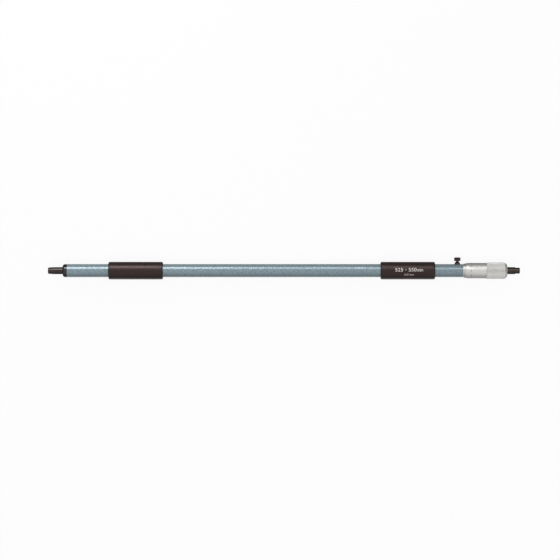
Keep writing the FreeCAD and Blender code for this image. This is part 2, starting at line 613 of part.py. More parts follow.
def make_lock_screw():
    """The lock screw, with a straight-knurled head."""
    corners = [("0", "screw_foot"), ("screw_d", "screw_foot"), ("screw_d", "lock_head_bottom"),
               ("lock_head_d", "lock_head_bottom"), ("lock_head_d", "lock_reach"), ("0", "lock_reach")]
    body, screw = turned_upright("lock_screw", corners)
    top = [("lock_reach", "lock_head_d")]
    sloped = finish_rim(body, screw, "Chamfer", "lock_head_slope", top, upright=True)
    bottom = [("lock_head_bottom", "lock_head_d")]
    finish_rim(body, sloped, "Chamfer", "lock_head_chamfer", bottom, upright=True)
    outline = [("0", "lock_flute_floor"), ("lock_flute_half", "lock_flute_mouth"),
               ("-lock_flute_half", "lock_flute_mouth")]
    flute_sketch = closed_sketch(body, "lock_flute_sketch", "XY_Plane", outline, "lock_head_bottom")
    flute = cut_away(body, flute_sketch, "lock_flute")
    spread_round(body, flute, "Z_Axis", "lock_knurl_count")


def make_clamp_plug():
    """The brass plug that the lock screw presses on the spindle, hollowed to the journal's shape."""
    pin = doc.addObject("Part::Cylinder", "clamp_plug_pin")
    pin.setExpression("Radius", bound("plug_d") + " / 2")
    pin.setExpression("Height", bound("plug_top"))
    hollow = doc.addObject("Part::Cylinder", "clamp_plug_hollow")
    hollow.setExpression("Radius", bound("saddle_radius"))
    hollow.setExpression("Height", bound("plug_d") + " * 2")
    middle = f"vector(-{bound('plug_d')}; 0; {bound('lock_lift')})"
    hollow.setExpression("Placement", f"placement({middle}; rotation(vector(0; 1; 0); 90 deg))")
    plug = doc.addObject("Part::Cut", "clamp_plug")
    plug.Base = pin
    plug.Tool = hollow
    plug.Label = "clamp_plug"
    lay_down(plug, "lock_x")
    node_names.append("clamp_plug")


make_main_tube()
make_grip("front_grip", "front_grip_start", "front_grip_end")
make_grip("rear_grip", "rear_grip_start", "rear_grip_end")
make_anvil_plug()
make_anvil()
make_insert("anvil_tip", "0", "face_radius")
make_inner_sleeve()
make_adjusting_nut()
make_graduated_sleeve()
make_spindle()
make_stop_washer()
make_stop_screw()
make_thimble()
make_thimble_nut()
make_contact_holder()
make_spindle_contact()
make_insert("spindle_tip", "contact_socket", "closed_length - face_radius")
make_lock_boss()
make_lock_screw()
make_clamp_plug()

doc.recompute()

for item in doc.Objects:
    if "Invalid" in item.State or "Error" in item.State:
        raise RuntimeError(f"{item.Label} didn't build: {item.State}")

os.makedirs("parts", exist_ok=True)
for name in node_names:
    shape = doc.getObject(name).Shape
    if shape.isNull() or not shape.isValid() or len(shape.Solids) != 1:
        raise RuntimeError(f"{name} isn't one valid solid")
    shape.exportStep(f"parts/{name}.step")
    box = shape.BoundBox
    print(f"{name}: {shape.Volume:.1f} mm3, x {box.XMin:.2f} to {box.XMax:.2f}")
print(f"{len(node_names)} pieces, screw dips {float(sheet.get('screw_dip')):.3f} degrees below level")
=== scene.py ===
# %% [markdown]
# # The looks of a tubular inside micrometer
# The solid model of this tool is already finished: a long enamelled tube with two grips, a fixed
# anvil at one end and a micrometer head at the other. This lesson dresses it. It sets up the
# camera and a plain studio, mixes a finish for each material, turns a finer plug, adds what is
# printed or engraved on the tool, and winds a short thread. Every length in Blender is in
# metres, and MM turns millimetres into them.

# %% Open the finished solid model
import json
import math

import bmesh
import bpy
from mathutils import Matrix, Vector


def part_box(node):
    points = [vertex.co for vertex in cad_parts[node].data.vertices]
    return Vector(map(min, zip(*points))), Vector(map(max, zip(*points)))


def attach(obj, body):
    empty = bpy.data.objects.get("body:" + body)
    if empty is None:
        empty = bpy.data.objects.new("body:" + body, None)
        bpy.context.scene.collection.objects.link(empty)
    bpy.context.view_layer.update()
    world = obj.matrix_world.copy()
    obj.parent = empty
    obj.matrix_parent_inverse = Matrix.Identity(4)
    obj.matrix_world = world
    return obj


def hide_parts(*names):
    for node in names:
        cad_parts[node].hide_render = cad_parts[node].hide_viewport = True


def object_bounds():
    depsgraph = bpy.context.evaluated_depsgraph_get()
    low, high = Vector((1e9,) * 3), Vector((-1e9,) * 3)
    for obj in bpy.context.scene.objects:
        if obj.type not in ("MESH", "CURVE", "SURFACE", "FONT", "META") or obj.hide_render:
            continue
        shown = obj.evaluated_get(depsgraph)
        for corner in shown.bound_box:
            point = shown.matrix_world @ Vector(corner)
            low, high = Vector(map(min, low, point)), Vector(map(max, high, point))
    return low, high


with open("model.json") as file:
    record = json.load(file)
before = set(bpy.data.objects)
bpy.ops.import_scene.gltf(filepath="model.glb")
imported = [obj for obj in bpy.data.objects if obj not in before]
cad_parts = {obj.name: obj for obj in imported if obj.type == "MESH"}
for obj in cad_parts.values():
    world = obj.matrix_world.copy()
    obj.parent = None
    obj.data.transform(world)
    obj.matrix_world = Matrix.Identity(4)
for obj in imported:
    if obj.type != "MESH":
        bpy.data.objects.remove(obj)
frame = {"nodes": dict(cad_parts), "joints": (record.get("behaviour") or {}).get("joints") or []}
solid_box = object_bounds()
print("solid pieces:", len(frame["nodes"]))

# %% [markdown]
# ## Directions on the tool
# The tool lies on its two round grips and has rolled until its lock screw touches the table. So
# "up in the picture" isn't the table's up: it is the direction in which the lock screw sticks
# out, and the camera looks at right angles to that. Both directions come from the lock screw's
# own axis in the model, so they stay right if the model changes.

# %% Find the tool's directions
MM = 0.001
ALONG = Vector((1, 0, 0))
joints = {joint["name"]: joint for joint in frame["joints"]}
SCREW_SIDE = Vector(joints["plug_lift"]["axis"]).normalized()
FACING = ALONG.cross(SCREW_SIDE)
TABLE_HEIGHT = solid_box[0][2]
print("camera side:", [round(part, 3) for part in FACING], "table at", round(TABLE_HEIGHT, 5))


# %% [markdown]
# ## Small helpers
# A colour is easiest to choose as the hex value that a paint program shows, but light adds up
# only in linear numbers, so one function turns the first into the second. A second function adds
# a node to a material, sets it up and links it in one go, and a third starts a new material with
# the values that are the same all over its surface. That keeps the recipes short.

# %% Colour and node helpers
def linear(hex_colour):
    """Turn an sRGB hex colour such as "82959C" into the linear RGBA that a socket holds."""
    shares = [int(hex_colour[place:place + 2], 16) / 255 for place in (0, 2, 4)]
    return [share / 12.92 if share <= 0.04045 else ((share + 0.055) / 1.055) ** 2.4
            for share in shares] + [1.0]


def add_node(tree, kind, inputs=None, **settings):
    """Add a node. settings are its options; inputs maps a socket to a value or to a link."""
    node = tree.nodes.new(kind)
    for option, value in settings.items():
        setattr(node, option, value)
    for socket, value in (inputs or {}).items():
        if isinstance(value, bpy.types.NodeSocket):
            tree.links.new(value, node.inputs[socket])
        else:
            node.inputs[socket].default_value = value
    return node


def new_finish(name, **surface):
    """Start a material whose surface shader has these values, and return it with its shader."""
    material = bpy.data.materials.new(name)
    material.use_nodes = True
    shader = material.node_tree.nodes["Principled BSDF"]
    for socket, value in surface.items():
        shader.inputs[socket.replace("_", " ")].default_value = value
    return material, shader


# %% [markdown]
# ## The camera
# The picture was taken from far away, so the tool shows hardly any perspective. A long lens at
# three metres gives the same. The tool is 525 mm between its measuring faces, and that distance
# covers 471.95 of the picture's 560 pixels, which fixes how wide a view the lens must take in.

# %% Set up the camera
PICTURE_SIDE = 560
TOOL_LENGTH = 525 * MM
TOOL_LENGTH_PIXELS = 471.95
TOOL_CENTRE_PIXELS = (283.9, 270.66)
CAMERA_DISTANCE = 3.0
VIEW_REACH = 50

pixel = TOOL_LENGTH / TOOL_LENGTH_PIXELS
offset_right = (TOOL_CENTRE_PIXELS[0] - PICTURE_SIDE / 2) * pixel
offset_up = (PICTURE_SIDE / 2 - TOOL_CENTRE_PIXELS[1]) * pixel
aim = ALONG * (TOOL_LENGTH / 2 - offset_right) - SCREW_SIDE * offset_up


def looking_back(towards, distance, target):
    """Place something at a distance from the target, turned to look at it, with +X to its right."""
    turned = Matrix((ALONG, towards.cross(ALONG), towards)).transposed().to_4x4()
    return Matrix.Translation(target + towards * distance) @ turned


camera_data = bpy.data.cameras.new("camera")
camera = bpy.data.objects.new("camera", camera_data)
bpy.context.scene.collection.objects.link(camera)
camera.matrix_world = looking_back(FACING, CAMERA_DISTANCE, aim)
camera_data.lens = camera_data.sensor_width * CAMERA_DISTANCE / (PICTURE_SIDE * pixel)
camera_data.clip_end = VIEW_REACH
bpy.context.scene.camera = camera
print("lens", round(camera_data.lens, 1), "mm")

# %% [markdown]
# ## The studio
# The light is plain and soft. Two soft boxes stand end to end at the side to which the lock
# screw points: on the round tube they draw the bright line that runs along the upper half. The
# gap between them makes that line fainter for a stretch, and it ends before the thimble. A grid
# in front of each sends its light straight ahead, so that the slanting bevel isn't dazzled from
# the side. A third, weaker box leans less and lights the thimble. Lamps are given by how bright
# they look, where 1 is white paper, and the power in watts follows from that, their area and
# their grid. The room fills the rest: it is brightest on the camera's side and darker all round,
# and that gives round metal its shading.

# %% Lamps
# lean towards the lock screw in degrees, distance, length, width, brightness straight ahead,
# place along the tool, angle of the grid in degrees, where 180 is no grid
SOFT_BOXES = {
    "left_strip_box": (51, 0.9, 0.58, 0.44, 8.8, -0.075, 75),
    "right_strip_box": (51, 0.9, 0.09, 0.44, 9.0, 0.36, 75),
    "thimble_box": (35, 1.2, 0.30, 0.38, 2.9, 0.615, 180),
}


def soft_box(name, degrees, distance, length, width, brightness, place, grid):
    """Add a soft box, leaning by degrees from the camera's direction towards the lock screw."""
    lean = math.radians(degrees)
    towards = FACING * math.cos(lean) + SCREW_SIDE * math.sin(lean)
    data = bpy.data.lights.new(name, "AREA")
    data.shape = "RECTANGLE"
    data.size = length
    data.size_y = width
    data.spread = math.radians(grid)
    grid_slope = math.tan(data.spread / 2)
    focus = grid_slope / (grid_slope - data.spread / 2)
    data.energy = brightness * math.pi * length * width / focus
    lamp = bpy.data.objects.new(name, data)
    bpy.context.scene.collection.objects.link(lamp)
    lamp.matrix_world = looking_back(towards, distance, ALONG * place)
    lamp.visible_camera = False
    print(name, round(data.energy, 2), "W")


for box_name, facts in SOFT_BOXES.items():
    soft_box(box_name, *facts)

# %% [markdown]
# The room is a world shader. It compares the direction of a ray with the camera's side, leaning
# a little away from the lock screw. The more the two agree, the brighter the room is, in a
# smooth step from the brightness of its sides to that of its front.

# %% Room
ROOM_SIDES = 0.42
ROOM_FRONT = 1.26
ROOM_LEAN = 0.17
ROOM_START = -0.2

room = bpy.data.worlds.new("room")
room.use_nodes = True
bpy.context.scene.world = room
tree = room.node_tree
tree.nodes.clear()
way = add_node(tree, "ShaderNodeTexCoord")
sidedness = add_node(tree, "ShaderNodeVectorMath", operation="DOT_PRODUCT",
                     inputs={0: way.outputs["Generated"], 1: FACING - SCREW_SIDE * ROOM_LEAN})
level = add_node(tree, "ShaderNodeMapRange", interpolation_type="SMOOTHSTEP",
                 inputs={"Value": sidedness.outputs["Value"], "From Min": ROOM_START,
                         "From Max": 1.0, "To Min": ROOM_SIDES, "To Max": ROOM_FRONT})
lighting = add_node(tree, "ShaderNodeBackground", inputs={"Strength": level.outputs["Result"]})
add_node(tree, "ShaderNodeOutputWorld", inputs={"Surface": lighting.outputs[0]})
bpy.context.scene.view_settings.view_transform = "Standard"
print("room from", ROOM_SIDES, "to", ROOM_FRONT)

# %% [markdown]
# ## The table
# The table is a wide matt white sheet. Most of what the eye, and the metal, sees of it is plain
# white, but a share of it stays ordinary matt white, and that share shows the tool's shadow.

# %% The table
TABLE_HALF_WIDTH = 4.0
WHITE_SHARE = 0.9

table_shape = bmesh.new()
bmesh.ops.create_grid(table_shape, x_segments=1, y_segments=1, size=TABLE_HALF_WIDTH,
                      matrix=Matrix.Translation((TOOL_LENGTH / 2, 0, TABLE_HEIGHT)))
table_mesh = bpy.data.meshes.new("table")
table_shape.to_mesh(table_mesh)
table_shape.free()
table = bpy.data.objects.new("table", table_mesh)
bpy.context.scene.collection.objects.link(table)

matt_white = bpy.data.materials.new("matt_white_sheet")
matt_white.use_nodes = True
tree = matt_white.node_tree
tree.nodes.clear()
path = add_node(tree, "ShaderNodeLightPath")
either = add_node(tree, "ShaderNodeMath", operation="MAXIMUM",
                  inputs={0: path.outputs["Is Camera Ray"], 1: path.outputs["Is Glossy Ray"]})
seen = add_node(tree, "ShaderNodeMath", operation="MAXIMUM",
                inputs={0: either.outputs[0], 1: path.outputs["Is Transmission Ray"]})
share = add_node(tree, "ShaderNodeMath", operation="MULTIPLY",
                 inputs={0: seen.outputs[0], 1: WHITE_SHARE})
paper = add_node(tree, "ShaderNodeBsdfDiffuse", inputs={"Color": linear("F2F2F2")})
white = add_node(tree, "ShaderNodeEmission", inputs={"Color": linear("FFFFFF")})
mixed = add_node(tree, "ShaderNodeMixShader",
                 inputs={0: share.outputs[0], 1: paper.outputs[0], 2: white.outputs[0]})
add_node(tree, "ShaderNodeOutputMaterial", inputs={"Surface": mixed.outputs[0]})
table_mesh.materials.append(matt_white)
print("table", 2 * TABLE_HALF_WIDTH, "m wide")

# %% [markdown]
# A shiny round thing on a white sheet mirrors the sheet in its edges, and they fade into it.
# Photographers lay a grey card beside it, which draws the edge as a darker line. This card lies
# on the side of the lock screw. Only reflections see it: it hides nothing and casts no shadow.

# %% The grey card
CARD_LENGTH = 1.2
CARD_WIDTH = 0.6
CARD_HEIGHT = 0.1 * MM
HALF_METRE = 0.5

card_side = Vector((0, SCREW_SIDE.y, 0)).normalized()
card_middle = ALONG * (TOOL_LENGTH / 2) + card_side * (CARD_WIDTH / 2)
card_middle.z = TABLE_HEIGHT + CARD_HEIGHT
card_shape = bmesh.new()
card_size = Matrix.Diagonal((CARD_LENGTH, CARD_WIDTH, 1, 1))
bmesh.ops.create_grid(card_shape, x_segments=1, y_segments=1, size=HALF_METRE,
                      matrix=Matrix.Translation(card_middle) @ card_size)
card_mesh = bpy.data.meshes.new("grey_card")
card_shape.to_mesh(card_mesh)
card_shape.free()
card = bpy.data.objects.new("grey_card", card_mesh)
bpy.context.scene.collection.objects.link(card)
card_grey, shader = new_finish("matt_grey_card", Base_Color=linear("B2B2B2"), Roughness=1.0,
                               Specular_IOR_Level=0.0)
card_mesh.materials.append(card_grey)
card.visible_camera = False
card.visible_diffuse = False
card.visible_transmission = False
card.visible_shadow = False
print("card", CARD_LENGTH, "by", CARD_WIDTH, "m")

# %% [markdown]
# ## Hammered enamel on the tube
# The tube is steel, sprayed with a hammer-finish enamel. Aluminium flakes float in a blue-grey
# lacquer, and silicone in it makes the wet film pull back into small round dimples. So three
# things happen at once: the colour is mottled, the dimples break up each reflection, and a clear
# glossy skin lies over both. The dimples are rounded cells of 1.5 mm, which a smooth Voronoi
# pattern draws, and they go into the bump of both the flakes and the clear skin.

# %% Hammered enamel
DIMPLE = 1.5 * MM
DIMPLE_DEPTH = 0.05 * MM
FLAKE = 0.4 * MM
FLAKE_SHARE = 0.5

hammered_enamel, shader = new_finish("hammered_blue_grey_enamel", Metallic=0.35, Roughness=0.28,
                                     Specular_IOR_Level=0.1, Specular_Tint=linear("909090"),
                                     Coat_Weight=0.7, Coat_Roughness=0.2)
tree = hammered_enamel.node_tree
place = add_node(tree, "ShaderNodeTexCoord")
cells = add_node(tree, "ShaderNodeTexVoronoi", feature="SMOOTH_F1",
                 inputs={"Vector": place.outputs["Object"], "Scale": 1 / DIMPLE, "Smoothness": 0.35})
bowls = add_node(tree, "ShaderNodeMath", operation="POWER",
                 inputs={0: cells.outputs["Distance"], 1: 2.0})
flakes = add_node(tree, "ShaderNodeTexNoise",
                  inputs={"Vector": place.outputs["Object"], "Scale": 1 / FLAKE, "Detail": 2.0})
mottle = add_node(tree, "ShaderNodeMath", operation="MULTIPLY_ADD",
                  inputs={0: flakes.outputs["Fac"], 1: FLAKE_SHARE, 2: cells.outputs["Distance"]})
tone = add_node(tree, "ShaderNodeValToRGB", inputs={"Fac": mottle.outputs[0]})
tone.color_ramp.elements[0].position = 0.35
tone.color_ramp.elements[0].color = linear("829399")
tone.color_ramp.elements[1].position = 0.95
tone.color_ramp.elements[1].color = linear("6C7D84")
tree.links.new(tone.outputs["Color"], shader.inputs["Base Color"])
dents = add_node(tree, "ShaderNodeBump", inputs={"Height": bowls.outputs[0],
                                                 "Distance": DIMPLE_DEPTH})
tree.links.new(dents.outputs["Normal"], shader.inputs["Normal"])
tree.links.new(dents.outputs["Normal"], shader.inputs["Coat Normal"])
print("dimples of", DIMPLE / MM, "mm, flakes of", FLAKE / MM, "mm")

# %% [markdown]
# ## Moulded plastic on the grips
# The grips keep the hand's warmth away from the steel. They are moulded from a dark brown,
# almost black plastic, and the mould was lightly spark-eroded, so the skin is satin: the strip of
# light turns into a wide soft band. A fine grain goes into the bump, and a slower cloudiness
# changes how dull the surface is, as on plastic that has been held.

# %% Moulded plastic
MOULD_GRAIN = 0.35 * MM
GRAIN_DEPTH = 0.02 * MM
GRAIN_STRENGTH = 0.6
HAND_CLOUDS = 14 * MM
PLASTIC_SMOOTHEST = 0.33
PLASTIC_DULLEST = 0.43

moulded_plastic, shader = new_finish("satin_brown_black_plastic", Base_Color=linear("0C0503"),
                                     Specular_IOR_Level=0.5, Specular_Tint=linear("FFE0DA"))
tree = moulded_plastic.node_tree
place = add_node(tree, "ShaderNodeTexCoord")
grain = add_node(tree, "ShaderNodeTexNoise",
                 inputs={"Vector": place.outputs["Object"], "Scale": 1 / MOULD_GRAIN, "Detail": 3.0})
grained = add_node(tree, "ShaderNodeBump", inputs={"Height": grain.outputs["Fac"],
                                                   "Distance": GRAIN_DEPTH,
                                                   "Strength": GRAIN_STRENGTH})
tree.links.new(grained.outputs["Normal"], shader.inputs["Normal"])
cloud = add_node(tree, "ShaderNodeTexNoise",
                 inputs={"Vector": place.outputs["Object"], "Scale": 1 / HAND_CLOUDS, "Detail": 2.0})
dullness = add_node(tree, "ShaderNodeMapRange",
                    inputs={"Value": cloud.outputs["Fac"], "From Min": 0.3, "From Max": 0.7,
                            "To Min": PLASTIC_SMOOTHEST, "To Max": PLASTIC_DULLEST})
tree.links.new(dullness.outputs["Result"], shader.inputs["Roughness"])
print("grain of", MOULD_GRAIN / MM, "mm, clouds of", HAND_CLOUDS / MM, "mm")

# %% [markdown]
# ## Turned steel, blackened
# The anvil, its plug, the holder and the moving contact are turned from steel and blackened in a
# hot salt bath. The black is only a thousandth of a millimetre thick, so the turning marks still
# show through as rings round the axis, and the surface shines like metal, only dark. Such a
# black is oiled, and the oil adds a faint clear shine, without colour, to the brownish one of the
# metal. The plug came out of another bath and is a colder black. The lock screw and its boss are
# a paler, duller black, and dry. The rings are a pattern that changes along X alone. No bath and
# no plating comes out quite even, so a slow cloudiness makes each metal a little darker and
# duller in places.

# %% Blackened steel and its relatives
METAL_CLOUDS = 5 * MM
CLOUD_LOW = 0.35
CLOUD_HIGH = 0.7
DULLER_BY = 0.06
RING_STRENGTH = 0.5


def turned_rings(tree, feed, depth):
    """Give the bump of turning marks: rings round X, unevenly spaced about one feed apart."""
    place = add_node(tree, "ShaderNodeTexCoord")
    only_along = add_node(tree, "ShaderNodeMapping",
                          inputs={"Vector": place.outputs["Object"],
                                  "Scale": (1 / (feed * MM), 0, 0)})
    rings = add_node(tree, "ShaderNodeTexNoise",
                     inputs={"Vector": only_along.outputs["Vector"], "Scale": 1.0, "Detail": 1.0})
    return add_node(tree, "ShaderNodeBump", inputs={"Height": rings.outputs["Fac"],
                                                    "Distance": depth * MM,
                                                    "Strength": RING_STRENGTH})


def metal(name, light, dark, roughness, feed, depth):
    """Mix a turned metal from its two shades, how dull it is and how coarse the tool left it.

    feed is the spacing of the turning marks and depth their depth, both in millimetres.
    """
    material, shader = new_finish(name, Metallic=1.0, Specular_Tint=linear("606060"))
    tree = material.node_tree
    place = add_node(tree, "ShaderNodeTexCoord")
    clouds = add_node(tree, "ShaderNodeTexNoise",
                      inputs={"Vector": place.outputs["Object"], "Scale": 1 / METAL_CLOUDS,
                              "Detail": 3.0})
    shade = add_node(tree, "ShaderNodeValToRGB", inputs={"Fac": clouds.outputs["Fac"]})
    shade.color_ramp.elements[0].position = CLOUD_LOW
    shade.color_ramp.elements[0].color = linear(light)
    shade.color_ramp.elements[1].position = CLOUD_HIGH
    shade.color_ramp.elements[1].color = linear(dark)
    tree.links.new(shade.outputs["Color"], shader.inputs["Base Color"])
    dullness = add_node(tree, "ShaderNodeMapRange",
                        inputs={"Value": clouds.outputs["Fac"], "From Min": CLOUD_LOW,
                                "From Max": CLOUD_HIGH, "To Min": roughness,
                                "To Max": roughness + DULLER_BY})
    tree.links.new(dullness.outputs["Result"], shader.inputs["Roughness"])
    rings = turned_rings(tree, feed, depth)
    tree.links.new(rings.outputs["Normal"], shader.inputs["Normal"])
    return material


# name, light shade, dark shade, roughness, tool's feed and depth of its marks in millimetres
blackened_steel = metal("blackened_turned_steel", "3D3633", "332C29", 0.12, 0.35, 0.008)
cold_black_steel = metal("cold_black_turned_steel", "3A3838", "302E2E", 0.09, 0.35, 0.005)
black_screw_steel = metal("blackened_knurled_screw", "544846", "4A3E3C", 0.36, 0.35, 0.005)
ground_steel = metal("ground_bright_steel", "ADACA8", "9F9E9A", 0.20, 0.35, 0.003)
sintered_carbide = metal("lapped_sintered_carbide", "7A7A7D", "717174", 0.14, 0.35, 0.001)
turned_brass = metal("turned_brass", "BA964E", "A98544", 0.26, 0.35, 0.005)

OIL_ON = {blackened_steel: 0.25, cold_black_steel: 0.4}
OIL_ROUGHNESS = 0.1
for oiled, weight in OIL_ON.items():
    shader = oiled.node_tree.nodes["Principled BSDF"]
    shader.inputs["Coat Weight"].default_value = weight
    shader.inputs["Coat Roughness"].default_value = OIL_ROUGHNESS
print("oiled metals:", len(OIL_ON))

# %% [markdown]
# ## Satin chrome
# Thimble and sleeve are plated with a satin chrome that doesn't dazzle when the scale is read.
# Handling rubs the crests of the knurl, which fingers touch, bright, and on top of that they are
# painted lighter, a painted highlight. The flutes between them are painted darker, a painted shade.
# How far a point lies from the tool's axis tells crest and flute apart, and the plain barrel, which
# lies lower than both, keeps the middle tone.

# %% Satin chrome with worn crests, a painted highlight on them and painted shade in the flutes
satin_chrome = metal("satin_chrome_plate", "DCDBD8", "D5D4D1", 0.46, 0.25, 0.004)
COLLAR_RADIUS = (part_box("thimble")[1].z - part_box("thimble")[0].z) / 2
FLUTE_DEPTH = 0.34 * MM
WEAR_AND_SHADE_REACH = 2 * FLUTE_DEPTH
BARREL_LEVEL = 0.30
PAINTED_FLUTE_SHADE_LEVEL = 0.45
CREST_LEVEL = 0.90
tree = satin_chrome.node_tree
shader = tree.nodes["Principled BSDF"]
place = add_node(tree, "ShaderNodeTexCoord")
across = add_node(tree, "ShaderNodeVectorMath", operation="MULTIPLY",
                  inputs={0: place.outputs["Object"], 1: (0, 1, 1)})
reach = add_node(tree, "ShaderNodeVectorMath", operation="LENGTH", inputs={0: across.outputs["Vector"]})
height = add_node(tree, "ShaderNodeMapRange",
                  inputs={"Value": reach.outputs["Value"], "From Max": COLLAR_RADIUS,
                          "From Min": COLLAR_RADIUS - WEAR_AND_SHADE_REACH})
# Painted highlight on the crests and painted shade in the flutes, set by distance from the axis.
wear_and_painted_light = add_node(tree, "ShaderNodeValToRGB", inputs={"Fac": height.outputs["Result"]})
wear_and_painted_light.color_ramp.elements[0].position = BARREL_LEVEL
wear_and_painted_light.color_ramp.elements[0].color = linear("F0F0F0")
wear_and_painted_light.color_ramp.elements[1].position = CREST_LEVEL
wear_and_painted_light.color_ramp.elements[1].color = linear("FFFFFF")
# The darker stop at the bottom of the flutes is painted shade.
painted_flute_shade = wear_and_painted_light.color_ramp.elements.new(PAINTED_FLUTE_SHADE_LEVEL)
painted_flute_shade.color = linear("EAE8E4")
plating = shader.inputs["Base Color"].links[0].from_socket
worn_and_painted = add_node(tree, "ShaderNodeMix", data_type="RGBA", blend_type="MULTIPLY",
                inputs={"Factor": 1.0, "A": plating, "B": wear_and_painted_light.outputs["Color"]})
tree.links.new(worn_and_painted.outputs["Result"], shader.inputs["Base Color"])
print("collar radius", round(COLLAR_RADIUS / MM, 2), "mm")

# %% [markdown]
# ## Dressing the solid pieces
# Each solid keeps its shape and only gets its finish. A table says which piece has which.

# %% Give each solid its finish
FINISHES = {
    hammered_enamel: ["main_tube"],
    moulded_plastic: ["front_grip", "rear_grip"],
    blackened_steel: ["anvil", "contact_holder", "spindle_contact"],
    cold_black_steel: ["anvil_plug"],
    black_screw_steel: ["lock_boss", "lock_screw"],
    sintered_carbide: ["anvil_tip", "spindle_tip"],
    satin_chrome: ["graduated_sleeve", "thimble"],
    ground_steel: ["inner_sleeve", "thread_adjusting_nut", "spindle", "thimble_nut",
                   "stop_washer", "stop_screw"],
    turned_brass: ["clamp_plug"],
}

for finish, names in FINISHES.items():
    for name in names:
        for slot in frame["nodes"][name].material_slots:
            slot.material = finish
print("finishes:", len(FINISHES), "for", sum(len(names) for names in FINISHES.values()), "solids")

# %% [markdown]
# ## The anvil's plug
# The plug closes the front end of the tube and carries the anvil. Its flange is almost as wide as
# the tube, its front edge is well rounded, and a small lip at its back fills the chamfer on the
# tube's edge. The solid model keeps the front edge sharper and has no lip, so this piece stands
# for it. It is made as on a lathe: a few corners give half of its section, the flange's corner
# is rounded with a bevel, and the section is spun once round the tool's axis. Shading is smooth
# round the axis and over the rounding, and edges that turn by more than 30 degrees stay sharp.
# The last steps are the same for every new piece, so a helper takes them.

# %% Turn the plug
FLANGE_ROUND = 2.5 * MM
LIP_LENGTH = 0.25 * MM
PLUG_BORE_RADIUS = 2.52 * MM
SPIGOT_RADIUS = 5.73 * MM
ROUND_SEGMENTS = 8
TURNING_STEPS = 96
SHARP_ANGLE = math.radians(30)
SAME_PLACE = 1e-6


def finish_piece(name, shape, material, body):
    """Turn a bmesh into an object of that material, which moves with that body."""
    bmesh.ops.recalc_face_normals(shape, faces=shape.faces)
    mesh = bpy.data.meshes.new(name)
    shape.to_mesh(mesh)
    shape.free()
    mesh.materials.append(material)
    piece = bpy.data.objects.new(name, mesh)
    bpy.context.scene.collection.objects.link(piece)
    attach(piece, body)
    return piece


plug_low, plug_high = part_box("anvil_plug")
flange_radius = (plug_high.z - plug_low.z) / 2
tube_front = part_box("main_tube")[0].x
section_corners = [
    (plug_low.x, PLUG_BORE_RADIUS), (plug_low.x, flange_radius),
    (tube_front + LIP_LENGTH, flange_radius), (tube_front, flange_radius - LIP_LENGTH),
    (tube_front, SPIGOT_RADIUS), (plug_high.x, SPIGOT_RADIUS), (plug_high.x, PLUG_BORE_RADIUS),
]

plug = bmesh.new()
section = [plug.verts.new((along, 0, radius)) for along, radius in section_corners]
plug.faces.new(section)
bmesh.ops.bevel(plug, geom=[section[1]], offset=FLANGE_ROUND, offset_type="OFFSET",
                segments=ROUND_SEGMENTS, profile=0.5, affect="VERTICES", material=-1)
bmesh.ops.delete(plug, geom=plug.faces[:], context="FACES_ONLY")
bmesh.ops.spin(plug, geom=plug.verts[:] + plug.edges[:], cent=(0, 0, 0), axis=ALONG,
               angle=2 * math.pi, steps=TURNING_STEPS, use_merge=True)
bmesh.ops.remove_doubles(plug, verts=plug.verts, dist=SAME_PLACE)
open_edges = sum(edge.is_boundary for edge in plug.edges)
turned_plug = finish_piece("turned_anvil_plug", plug, cold_black_steel, "frame")
turned_plug.data.shade_smooth()
turned_plug.data.set_sharp_from_angle(angle=SHARP_ANGLE)
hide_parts("anvil_plug")
print("plug faces:", len(turned_plug.data.polygons), "open edges:", open_edges)

# %% [markdown]
# ## Print on a round surface
# Lettering starts as a flat text object. Made a mesh, it is scaled to its real width and height,
# cut into narrow strips so that it can bend, and then rolled round the axis: what was its height
# becomes an arc. It is a few hundredths of a millimetre thick, like a layer of ink, and half of
# that lies under the surface. The numbers of one scale are gathered in one piece.

# %% Flat print and how it is wrapped
INK_THICKNESS = 0.03 * MM
STRIP_COUNT = 8
ANY_THICKNESS = 0.5
SAME_CORNER = 1e-5
ON_THE_CUT = 1e-9


def flat_lettering(words, width, height, boldness):
    """Return a bmesh of the words, flat, centred on the origin, width by height in size."""
    curve = bpy.data.curves.new(words, "FONT")
    curve.body = words
    curve.offset = boldness
    curve.extrude = ANY_THICKNESS
    writer = bpy.data.objects.new(words, curve)
    bpy.context.scene.collection.objects.link(writer)
    bpy.context.view_layer.update()
    mesh = bpy.data.meshes.new_from_object(writer)
    bpy.data.objects.remove(writer)
    shape = bmesh.new()
    shape.from_mesh(mesh)
    bpy.data.meshes.remove(mesh)
    bmesh.ops.remove_doubles(shape, verts=shape.verts, dist=SAME_CORNER)
    lows = [min(vertex.co[axis] for vertex in shape.verts) for axis in range(3)]
    highs = [max(vertex.co[axis] for vertex in shape.verts) for axis in range(3)]
    middle = Vector([(low + high) / 2 for low, high in zip(lows, highs)])
    bmesh.ops.translate(shape, verts=shape.verts, vec=-middle)
    size = Vector((width / (highs[0] - lows[0]), height / (highs[1] - lows[1]),
                   INK_THICKNESS / (highs[2] - lows[2])))
    bmesh.ops.scale(shape, verts=shape.verts, vec=size)
    return shape


def cut_into_strips(shape, height):
    """Cut a flat shape across its height, so that it can follow a round surface."""
    for count in range(1, STRIP_COUNT):
        level = height * (count / STRIP_COUNT - 0.5)
        everything = shape.verts[:] + shape.edges[:] + shape.faces[:]
        bmesh.ops.bisect_plane(shape, geom=everything, plane_co=(0, level, 0), plane_no=(0, 1, 0),
                               dist=ON_THE_CUT)


def outwards_at(turn):
    """The direction away from the axis, turned from the camera's side towards the lock screw."""
    return FACING * math.cos(turn) + SCREW_SIDE * math.sin(turn)


def wrap(shape, centre_x, centre_arc, radius):
    """Roll a flat shape round the axis. centre_arc is measured on the surface, towards the screw."""
    for vertex in shape.verts:
        outwards = outwards_at((vertex.co.y + centre_arc) / radius)
        vertex.co = ALONG * (vertex.co.x + centre_x) + outwards * (radius + vertex.co.z)


